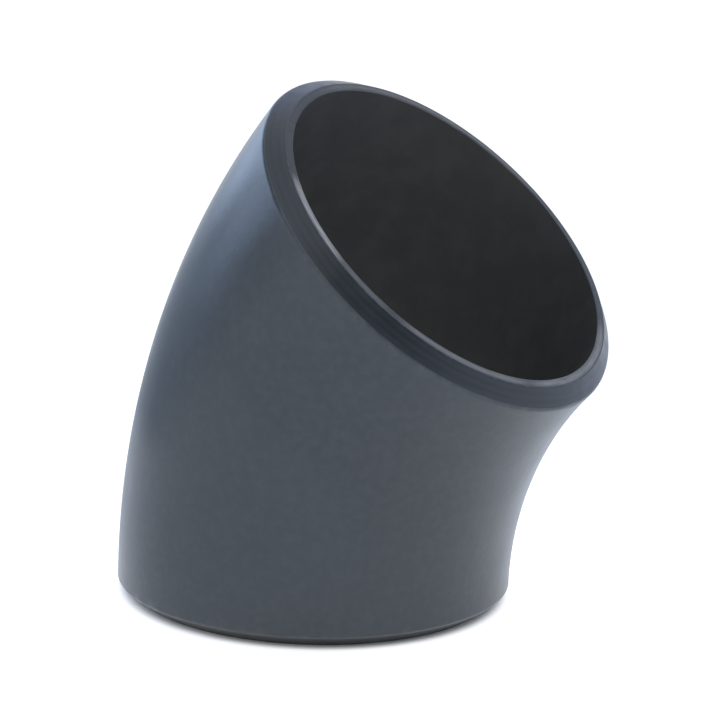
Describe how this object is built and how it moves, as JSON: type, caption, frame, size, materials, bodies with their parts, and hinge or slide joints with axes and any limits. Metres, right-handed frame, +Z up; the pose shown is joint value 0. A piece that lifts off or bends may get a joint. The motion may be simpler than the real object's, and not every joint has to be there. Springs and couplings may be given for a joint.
{
  "type": "butt-weld pipe elbow",
  "caption": "Forty-five degree long radius butt-weld pipe elbow in black painted steel, with a welding bevel and a flat root face on each mouth.",
  "frame": {"origin": "centre of the lower mouth, in the plane of its root face, which the elbow stands on", "axes": "+Z up along the lower end's axis, into the fitting; the tube bends from +Z towards +X in the XZ plane; +Y across the bend"},
  "size_m": [0.1399, 0.1142, 0.1462],
  "materials": {
    "black_paint": "satin blue-black paint on carbon steel"
  },
  "bodies": {
    "root": {"elbow_body": "black_paint"}
  },
  "joints": []
}
